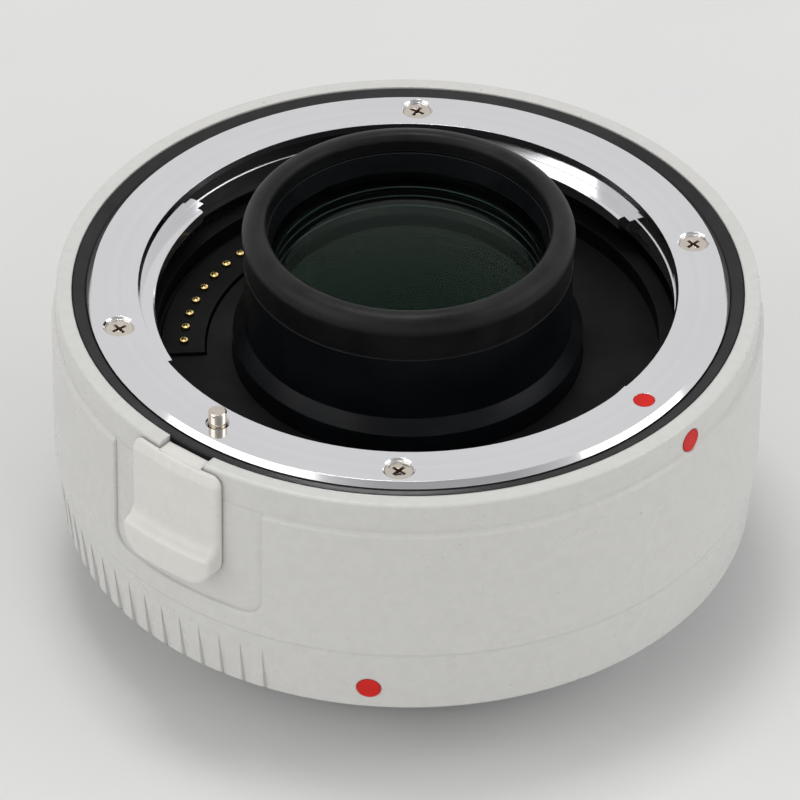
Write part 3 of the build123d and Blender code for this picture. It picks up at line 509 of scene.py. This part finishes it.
def make_screws():
    """The screws of both flanges. The lens side's heads look up, and the camera side's look down."""
    screw = flange_screw()
    front_height = lens_face - screw_sink
    front = set_of_screws(
        "lens_flange_screws", screw, front_screw_angles, front_screw_turns, front_height, 0
    )
    finish_piece(front, "housing", "screw_nickel", "front_mount_screws")
    rear = set_of_screws(
        "camera_flange_screws", screw, rear_screw_angles, rear_screw_turns, rear_screw_sink, head_down_tip
    )
    finish_piece(rear, "housing", "screw_nickel", "rear_mount_screws")
    bpy.data.objects.remove(screw)


def finish_piece(piece, body, slot, *stands_for):
    """Gives a new piece its finish, the body it moves with and the nodes it stands for."""
    if not piece.data.materials:
        piece.data.materials.append(finishes[slot])
    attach(piece, body)
    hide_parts(*stands_for)


def mark_faces(piece, wanted, finish):
    """Gives a second finish to the faces whose middles wanted() says yes to."""
    piece.data.materials.append(finish)
    number = len(piece.data.materials) - 1
    for face in piece.data.polygons:
        if wanted(face.center):
            face.material_index = number


def make_spacer():
    """The spacer behind the front glass, its bore cut in steps that stop stray light."""
    low_corner, high_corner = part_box("front_spacer")
    outer = high_corner[0]
    low = low_corner[2]
    high = high_corner[2]
    bore = outer - spacer_wall
    pitch = (high - low) / spacer_groove_count
    steps = [(bore, low), (outer, low), (outer, high)]
    for number in range(spacer_groove_count):
        crest = high - number * pitch
        steps.append((bore, crest))
        steps.append((bore, crest - spacer_land))
        steps.append((bore + spacer_groove_depth, crest - 2 * spacer_land))
        steps.append((bore + spacer_groove_depth, crest - pitch + spacer_land))
    spacer = turned_ring("stepped_spacer", steps[:-1], ring_sides, spacer_smooth_angle)
    spacer.data.materials.append(finishes["black_alloy"])
    # The lands at the bore get a pale grey finish: a painted highlight on the ridges' crests
    mark_faces(
        spacer,
        lambda middle: abs(middle.xy.length - bore) < spacer_land / 2,
        ridge_painted_highlight,
    )
    finish_piece(spacer, "housing", "black_alloy", "front_spacer")


def wound_spring(name, radius, wire, low, high):
    """A spring round +Z: a small hoop swept along its helix, closed at both ends."""
    bpy.ops.object.select_all(action="DESELECT")
    bpy.ops.mesh.primitive_circle_add(
        vertices=coil_sides,
        radius=wire / 2,
        fill_type="NOTHING",
        location=(radius - wire / 2, 0, low + wire / 2),
        rotation=(quarter_turn, 0, 0),
    )
    spring = open_piece(name)
    bpy.ops.object.mode_set(mode="OBJECT")
    winding = spring.modifiers.new("winding", "SCREW")
    winding.axis = "Z"
    winding.iterations = coil_turns
    winding.screw_offset = (high - low - wire) / coil_turns
    winding.steps = coil_steps
    winding.render_steps = coil_steps
    bpy.ops.object.modifier_apply(modifier="winding")
    bpy.ops.object.mode_set(mode="EDIT")
    bpy.ops.mesh.select_all(action="SELECT")
    bpy.ops.mesh.fill_holes(sides=0)
    close_piece(coil_smooth_angle)
    return spring


def make_springs():
    """The springs under the contact pins and round the release posts."""
    low_corner, high_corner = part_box("contact_spring_1")
    low = low_corner[2]
    high = high_corner[2]
    radius = (high_corner[0] - low_corner[0]) / 2
    source = wound_spring("contact_coil", radius, contact_wire, low, high)
    for number in range(1, contact_count + 1):
        low_corner, high_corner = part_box(f"contact_spring_{number}")
        middle = [(low_corner[0] + high_corner[0]) / 2, (low_corner[1] + high_corner[1]) / 2]
        spring = place_copy(source, f"contact_coil_{number}", (*middle, 0), 0, number * coil_turn_step)
        finish_piece(spring, "housing", "spring_steel", f"contact_spring_{number}")
        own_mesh(spring)
    bpy.data.objects.remove(source)
    low_corner, high_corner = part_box("release_springs")
    low = low_corner[2]
    high = high_corner[2]
    source = wound_spring("release_coil", release_coil_radius, release_wire, low, high)
    coils = []
    outward = Vector((math.cos(release_post_angle), math.sin(release_post_angle), 0))
    sideways = Vector((-outward.y, outward.x, 0))
    for side in (-release_post_side, release_post_side):
        spot = outward * release_post_reach + sideways * side
        coils.append(place_copy(source, "release_coils", spot))
    bpy.data.objects.remove(source)
    springs = join_pieces("release_coils", coils)
    finish_piece(springs, "housing", "spring_steel", "release_springs")
    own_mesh(springs)


def paint_mottle_group():
    """Two close colours in soft patches, with small scattered specks."""
    tree, entry, leave = new_group(
        "paint_mottle",
        [
            ("Pale", "NodeSocketColor", paint_pale),
            ("Dark", "NodeSocketColor", paint_dark),
            ("Speck", "NodeSocketColor", paint_speck),
        ],
        [("Colour", "NodeSocketColor")],
    )
    place = object_place(tree)
    patches = noise(tree, place, patch_scale, patch_detail)
    patches.inputs["Roughness"].default_value = patch_roughness
    patch_share = spread(tree, patches.outputs["Fac"], patch_range)
    two_tone = mixed_colour(tree, patch_share, entry.outputs["Pale"], entry.outputs["Dark"])
    specks = add_node(tree, "ShaderNodeTexVoronoi")
    specks.inputs["Scale"].default_value = speck_scale
    join(tree, place, specks.inputs["Vector"])
    pick = add_node(tree, "ShaderNodeSeparateColor")
    join(tree, specks.outputs["Color"], pick.inputs[0])
    size = math_node(tree, "MULTIPLY", pick.outputs[0], speck_radius)
    near = math_node(tree, "LESS_THAN", specks.outputs["Distance"], size)
    chosen = math_node(tree, "GREATER_THAN", pick.outputs[1], speck_limit)
    speck_mask = math_node(tree, "MULTIPLY", near, chosen)
    speck_share = math_node(tree, "MULTIPLY", speck_mask, pick.outputs[2])
    colour = mixed_colour(tree, speck_share, two_tone, entry.outputs["Speck"])
    join(tree, colour, leave.inputs["Colour"])
    return tree


def soft_edges_group():
    """A normal that rounds sharp edges, and a mask of where they are."""
    tree, entry, leave = new_group(
        "soft_edges",
        [("Radius", "NodeSocketFloat", 0.0)],
        [("Normal", "NodeSocketVector"), ("Edge", "NodeSocketFloat")],
    )
    bevel = add_node(tree, "ShaderNodeBevel", samples=edge_samples)
    join(tree, entry.outputs["Radius"], bevel.inputs["Radius"])
    face = add_node(tree, "ShaderNodeNewGeometry")
    dot = add_node(tree, "ShaderNodeVectorMath", operation="DOT_PRODUCT")
    join(tree, bevel.outputs["Normal"], dot.inputs[0])
    join(tree, face.outputs["Normal"], dot.inputs[1])
    join(tree, bevel.outputs["Normal"], leave.inputs["Normal"])
    join(tree, spread(tree, dot.outputs["Value"], edge_range), leave.inputs["Edge"])
    return tree


def turned_lines_group():
    """Fine rings left by a lathe, round the optical axis, with broad bands among them."""
    tree, _, leave = new_group(
        "turned_lines",
        [],
        [("Height", "NodeSocketFloat"), ("Wide", "NodeSocketFloat")],
    )
    parts = add_node(tree, "ShaderNodeSeparateXYZ")
    join(tree, object_place(tree), parts.inputs[0])
    flat = add_node(tree, "ShaderNodeCombineXYZ")
    join(tree, parts.outputs["X"], flat.inputs["X"])
    join(tree, parts.outputs["Y"], flat.inputs["Y"])
    reach = add_node(tree, "ShaderNodeVectorMath", operation="LENGTH")
    join(tree, flat.outputs[0], reach.inputs[0])
    strip = add_node(tree, "ShaderNodeCombineXYZ")
    join(tree, reach.outputs["Value"], strip.inputs["X"])
    join(tree, parts.outputs["Z"], strip.inputs["Y"])
    place = strip.outputs[0]
    lines = noise(tree, place, lines_per_metre, line_detail, noise_dimensions="2D")
    band_scale = lines_per_metre * band_scale_share
    bands = noise(tree, place, band_scale, line_detail, noise_dimensions="2D")
    join(tree, lines.outputs["Fac"], leave.inputs["Height"])
    join(tree, bands.outputs["Fac"], leave.inputs["Wide"])
    return tree


def fine_grain_group():
    """The small texture of a moulded or blasted surface, and soft clouds to vary its tone."""
    tree, entry, leave = new_group(
        "fine_grain",
        [("Grain Scale", "NodeSocketFloat", 0.0), ("Cloud Scale", "NodeSocketFloat", 0.0)],
        [("Height", "NodeSocketFloat"), ("Cloud", "NodeSocketFloat")],
    )
    place = object_place(tree)
    grain = noise(tree, place, entry.outputs["Grain Scale"], grain_detail)
    cloud = noise(tree, place, entry.outputs["Cloud Scale"], cloud_detail)
    join(tree, grain.outputs["Fac"], leave.inputs["Height"])
    join(tree, cloud.outputs["Fac"], leave.inputs["Cloud"])
    return tree


def dust_group():
    """Dust that lies in patches where a surface faces up."""
    tree, entry, leave = new_group(
        "settled_dust",
        [("Amount", "NodeSocketFloat", 0.0)],
        [("Dust", "NodeSocketFloat")],
    )
    place = object_place(tree)
    patches = noise(tree, place, dust_patch_scale, dust_patch_detail)
    motes = add_node(tree, "ShaderNodeTexVoronoi")
    motes.inputs["Scale"].default_value = mote_scale
    join(tree, place, motes.inputs["Vector"])
    face = add_node(tree, "ShaderNodeNewGeometry")
    upward = add_node(tree, "ShaderNodeSeparateXYZ")
    join(tree, face.outputs["Normal"], upward.inputs[0])
    facing = spread(tree, upward.outputs["Z"], dust_slope_range, dust_slope_share)
    patch_share = spread(tree, patches.outputs["Fac"], dust_patch_range)
    mote_share = spread(tree, motes.outputs["Distance"], mote_range)
    thin = math_node(tree, "MULTIPLY", patch_share, dust_patch_share)
    both = math_node(tree, "MAXIMUM", thin, mote_share)
    shown = math_node(tree, "MULTIPLY", both, facing)
    join(tree, math_node(tree, "MULTIPLY", shown, entry.outputs["Amount"]), leave.inputs["Dust"])
    return tree


groups = {
    "mottle": paint_mottle_group(),
    "edges": soft_edges_group(),
    "lines": turned_lines_group(),
    "grain": fine_grain_group(),
    "dust": dust_group(),
}


def place_group(tree, name, **values):
    """Places a shader group with values for its sockets."""
    node = add_node(tree, "ShaderNodeGroup", node_tree=groups[name])
    for label, value in values.items():
        node.inputs[label.replace("_", " ")].default_value = value
    return node


def new_material(name):
    """A new material, its tree and its shader."""
    material = bpy.data.materials.new(name)
    material.use_nodes = True
    tree = material.node_tree
    return material, tree, tree.nodes["Principled BSDF"]


def add_bump(tree, shader, height, strength, depth, normal=None):
    """Bumps a shader's surface, on top of a normal if one is given."""
    bump = add_node(tree, "ShaderNodeBump")
    bump.inputs["Strength"].default_value = strength
    bump.inputs["Distance"].default_value = depth
    join(tree, height, bump.inputs["Height"])
    if normal is not None:
        join(tree, normal, bump.inputs["Normal"])
    join(tree, bump.outputs["Normal"], shader.inputs["Normal"])


def painted_metal(name, pale, dark, grain_strength=0.2):
    """Warm off-white satin paint with a faint mottle."""
    material, tree, shader = new_material(name)
    mottle = place_group(tree, "mottle", Pale=pale, Dark=dark)
    grain = place_group(tree, "grain", Grain_Scale=1500.0, Cloud_Scale=120.0)
    edges = place_group(tree, "edges", Radius=paint_edge_radius)
    sheen = spread(tree, grain.outputs["Cloud"], wide_cloud_range, paint_roughness)
    join(tree, mottle.outputs["Colour"], shader.inputs["Base Color"])
    join(tree, sheen, shader.inputs["Roughness"])
    bumps = grain.outputs["Height"]
    add_bump(tree, shader, bumps, grain_strength, paint_grain_depth, edges.outputs["Normal"])
    return material


def turned_metal(name, pale, dark, roughness, lines_strength, edge_radius):
    """Plated or bare metal that was turned on a lathe."""
    material, tree, shader = new_material(name)
    shader.inputs["Metallic"].default_value = 1.0
    lines = place_group(tree, "lines")
    grain = place_group(tree, "grain", Grain_Scale=2500.0, Cloud_Scale=90.0)
    edges = place_group(tree, "edges", Radius=edge_radius)
    share = math_node(tree, "MULTIPLY", lines.outputs["Wide"], grain.outputs["Cloud"])
    tone = spread(tree, share, metal_tone_range)
    join(tree, mixed_colour(tree, tone, dark, pale), shader.inputs["Base Color"])
    smear = spread(tree, grain.outputs["Cloud"], cloud_range, roughness)
    join(tree, smear, shader.inputs["Roughness"])
    ridges = lines.outputs["Height"]
    add_bump(tree, shader, ridges, lines_strength, line_depth, edges.outputs["Normal"])
    return material


def dark_finish(name, pale, dark, roughness, grain_strength, dust, edge_radius, gloss, wear_and_highlight_amount=0.12):
    """Plastic, rubber or anodised metal with a fine grain, pale edges and a little dust. The pale edges are
    wear, and on the anodised black a painted highlight.
    """
    material, tree, shader = new_material(name)
    shader.inputs["Specular IOR Level"].default_value = gloss
    grain = place_group(tree, "grain", Grain_Scale=3500.0, Cloud_Scale=140.0)
    edges = place_group(tree, "edges", Radius=edge_radius)
    settled = place_group(tree, "dust", Amount=dust)
    tone = spread(tree, grain.outputs["Cloud"], cloud_range)
    plain = mixed_colour(tree, tone, dark, pale)
    # Edges are lightened by the given amount: wear, and on the anodised black a painted highlight
    wear_and_highlight_share = math_node(tree, "MULTIPLY", edges.outputs["Edge"], wear_and_highlight_amount)
    wear_and_highlight = mixed_colour(tree, wear_and_highlight_share, plain, wear_and_highlight_colour)
    dusted = mixed_colour(tree, settled.outputs["Dust"], wear_and_highlight, dust_colour)
    join(tree, dusted, shader.inputs["Base Color"])
    join(tree, spread(tree, tone, whole_range, roughness), shader.inputs["Roughness"])
    bumps = grain.outputs["Height"]
    add_bump(tree, shader, bumps, grain_strength, grain_depth, edges.outputs["Normal"])
    return material


def coated_glass(name, tint, edge_tint):
    """Lens glass with a green coating."""
    material, tree, shader = new_material(name)
    shader.inputs["Transmission Weight"].default_value = 1.0
    shader.inputs["Metallic"].default_value = 0.0
    shader.inputs["IOR"].default_value = glass_index
    shader.inputs["Specular Tint"].default_value = coating_colour
    grain = place_group(tree, "grain", Grain_Scale=600.0, Cloud_Scale=70.0)
    tone = spread(tree, grain.outputs["Cloud"], wide_cloud_range)
    join(tree, mixed_colour(tree, tone, tint, edge_tint), shader.inputs["Base Color"])
    join(tree, spread(tree, tone, whole_range, glass_roughness), shader.inputs["Roughness"])
    return material


def enamel(name, pale, dark):
    """Thick glossy paint in a small well."""
    material, tree, shader = new_material(name)
    shader.inputs["Specular IOR Level"].default_value = enamel_gloss
    grain = place_group(tree, "grain", Grain_Scale=1200.0, Cloud_Scale=400.0)
    tone = spread(tree, grain.outputs["Cloud"], cloud_range)
    join(tree, mixed_colour(tree, tone, pale, dark), shader.inputs["Base Color"])
    join(tree, spread(tree, tone, whole_range, enamel_roughness), shader.inputs["Roughness"])
    add_bump(tree, shader, grain.outputs["Height"], enamel_bump, grain_depth)
    return material


finishes = {
    "white_paint": painted_metal("barrel_paint", pale=paint_pale, dark=paint_dark),
    "lever_white": painted_metal("lever_paint", pale=lever_pale, dark=lever_dark),
    "black_trim": dark_finish(
        "trim_black",
        pale=(0.020, 0.020, 0.021, 1),
        dark=(0.014, 0.014, 0.015, 1),
        roughness=(0.40, 0.52),
        grain_strength=0.3,
        dust=0.08,
        edge_radius=0.08 * mm,
        gloss=0.2,
    ),
    "mount_chrome": turned_metal(
        "plated_mount",
        pale=(0.81, 0.81, 0.82, 1),
        dark=(0.785, 0.785, 0.795, 1),
        roughness=(0.08, 0.14),
        lines_strength=0.02,
        edge_radius=0.07 * mm,
    ),
    "screw_nickel": turned_metal(
        "nickel_plate",
        pale=(0.76, 0.70, 0.62, 1),
        dark=(0.66, 0.60, 0.53, 1),
        roughness=(0.14, 0.24),
        lines_strength=0.1,
        edge_radius=0.06 * mm,
    ),
    "spring_steel": turned_metal(
        "spring_steel",
        pale=(0.55, 0.54, 0.52, 1),
        dark=(0.42, 0.41, 0.40, 1),
        roughness=(0.22, 0.36),
        lines_strength=0.15,
        edge_radius=0.05 * mm,
    ),
    "chassis_alloy": turned_metal(
        "bare_alloy",
        pale=(0.60, 0.60, 0.61, 1),
        dark=(0.46, 0.46, 0.47, 1),
        roughness=(0.30, 0.45),
        lines_strength=0.3,
        edge_radius=0.08 * mm,
    ),
    "black_alloy": dark_finish(
        "anodised_black",
        pale=(0.0050, 0.0060, 0.0075, 1),
        dark=(0.0035, 0.0040, 0.0052, 1),
        roughness=(0.28, 0.40),
        grain_strength=0.12,
        dust=0.04,
        edge_radius=0.12 * mm,
        gloss=0.14,
        # Its edges are lightened into a painted highlight
        wear_and_highlight_amount=0.35,
    ),
    "black_plastic": dark_finish(
        "matt_black",
        pale=(0.0042, 0.0042, 0.0046, 1),
        dark=(0.0028, 0.0028, 0.0031, 1),
        roughness=(0.50, 0.70),
        grain_strength=0.3,
        dust=0.03,
        edge_radius=0.06 * mm,
        gloss=0.15,
    ),
    "bumper_rubber": dark_finish(
        "bumper_rubber",
        pale=(0.008, 0.008, 0.0085, 1),
        dark=(0.0045, 0.0045, 0.005, 1),
        roughness=(0.36, 0.50),
        grain_strength=0.7,
        dust=0.08,
        edge_radius=0.16 * mm,
        gloss=0.22,
        # Its edges are lightened strongly into a pale line
        wear_and_highlight_amount=0.9,
    ),
    "optical_glass": coated_glass(
        "coated_glass", tint=(0.70, 0.88, 0.76, 1), edge_tint=(0.76, 0.91, 0.80, 1)
    ),
    "contact_gold": turned_metal(
        "contact_gold",
        pale=(1.0, 0.74, 0.30, 1),
        dark=(0.85, 0.56, 0.18, 1),
        roughness=(0.16, 0.28),
        lines_strength=0.05,
        edge_radius=0.03 * mm,
    ),
    "red_enamel": enamel(
        "red_enamel", pale=(0.70, 0.014, 0.008, 1), dark=(0.60, 0.010, 0.006, 1)
    ),
    "board_green": dark_finish(
        "board_resist",
        pale=(0.02, 0.10, 0.045, 1),
        dark=(0.012, 0.07, 0.03, 1),
        roughness=(0.3, 0.45),
        grain_strength=0.2,
        dust=0.1,
        edge_radius=0.05 * mm,
        gloss=0.5,
    ),
    "flex_amber": dark_finish(
        "flex_amber",
        pale=(0.42, 0.20, 0.04, 1),
        dark=(0.32, 0.14, 0.03, 1),
        roughness=(0.3, 0.42),
        grain_strength=0.15,
        dust=0.1,
        edge_radius=0.02 * mm,
        gloss=0.5,
    ),
}

# Second finishes: a painted highlight on the spacer's ridges, and painted shade on the screws' recess walls
# Pale grey for the spacer's ridge lands: a painted highlight
ridge_painted_highlight = dark_finish(
    "ridge_painted_highlight",
    pale=(0.24, 0.26, 0.25, 1),
    dark=(0.15, 0.165, 0.16, 1),
    roughness=(0.25, 0.35),
    grain_strength=0.1,
    dust=0.0,
    edge_radius=0.05 * mm,
    gloss=0.5,
)
# Dark brown for the screws' cross recesses: painted shade
recess_painted_shade = turned_metal(
    "recess_painted_shade",
    pale=(0.34, 0.25, 0.19, 1),
    dark=(0.18, 0.12, 0.09, 1),
    roughness=(0.45, 0.6),
    lines_strength=0.1,
    edge_radius=0.03 * mm,
)


def dress_nodes():
    """Gives every node of the solids the finish of its slot."""
    for node in nodes.values():
        for slot in node.material_slots:
            slot.material = finishes[slot.material.name]


def make_floor():
    """A plain pale floor under the part."""
    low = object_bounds()[0][2]
    add_hoop(floor_sides, floor_radius, low, "NGON")
    floor = bpy.context.active_object
    floor.name = "pale_floor"
    material, tree, shader = new_material("pale_floor")
    grain = noise(tree, object_place(tree), floor_grain_scale, floor_grain_detail)
    tone = spread(tree, grain.outputs["Fac"], wide_cloud_range)
    join(tree, mixed_colour(tree, tone, floor_pale, floor_dark), shader.inputs["Base Color"])
    shader.inputs["Roughness"].default_value = floor_roughness
    floor.data.materials.append(material)


def add_softbox(name, spot, aim, size, power, colour, mirrored=True):
    """A lamp at a place in metres, with its width and height, its power in watts and its aim."""
    bpy.ops.object.light_add(type="AREA", location=spot)
    lamp = bpy.context.active_object
    lamp.name = name
    lamp.data.shape = "RECTANGLE"
    lamp.data.size, lamp.data.size_y = size
    lamp.data.energy = power
    lamp.data.color = colour
    lamp.visible_glossy = mirrored
    way = Vector((0, 0, aim)) - Vector(spot)
    lamp.rotation_euler = way.to_track_quat("-Z", "Y").to_euler()


def make_lamps():
    """Broad soft lamps at both sides, in front and overhead. Nothing mirrors the one in front."""
    add_softbox(
        "left_softbox",
        spot=(-0.66, -0.24, 0.46),
        aim=low_aim,
        size=(0.66, 0.56),
        power=1.4,
        colour=(1.0, 0.995, 0.985),
    )
    add_softbox(
        "right_softbox",
        spot=(0.68, -0.12, 0.46),
        aim=low_aim,
        size=(0.46, 0.44),
        power=1.0,
        colour=(0.99, 0.995, 1.0),
    )
    add_softbox(
        "front_fill",
        spot=(0.34, -0.74, 0.62),
        aim=low_aim,
        size=(0.50, 0.40),
        power=0.85,
        colour=(1.0, 1.0, 1.0),
        mirrored=False,
    )
    add_softbox(
        "top_softbox",
        spot=(-0.05, 0.10, 0.80),
        aim=high_aim,
        size=(0.22, 0.20),
        power=1.4,
        colour=(1.0, 1.0, 1.0),
    )


def make_room():
    """A plain bright room. What is mirrored or seen is paler than what it gives, but for its dim part."""
    world = bpy.data.worlds.new("studio")
    bpy.context.scene.world = world
    world.use_nodes = True
    tree = world.node_tree
    shade = tree.nodes["Background"]
    rays = add_node(tree, "ShaderNodeLightPath").outputs
    seen = math_node(tree, "MAXIMUM", rays["Is Camera Ray"], rays["Is Glossy Ray"])
    shown = math_node(tree, "MAXIMUM", seen, rays["Is Transmission Ray"])
    way = add_node(tree, "ShaderNodeTexCoord")
    facing = add_node(tree, "ShaderNodeVectorMath", operation="DOT_PRODUCT")
    join(tree, way.outputs["Generated"], facing.inputs[0])
    facing.inputs[1].default_value = dim_direction
    dimmed = spread(tree, facing.outputs["Value"], dim_range)
    mirrored = mixed_colour(tree, dimmed, room_seen, room_dim)
    join(tree, mixed_colour(tree, shown, room_light, mirrored), shade.inputs["Color"])
    shade.inputs["Strength"].default_value = 1.0


bpy.context.scene.view_settings.view_transform = "Standard"
place_camera()
dress_nodes()
make_screws()
make_spacer()
make_springs()
make_floor()
make_lamps()
make_room()
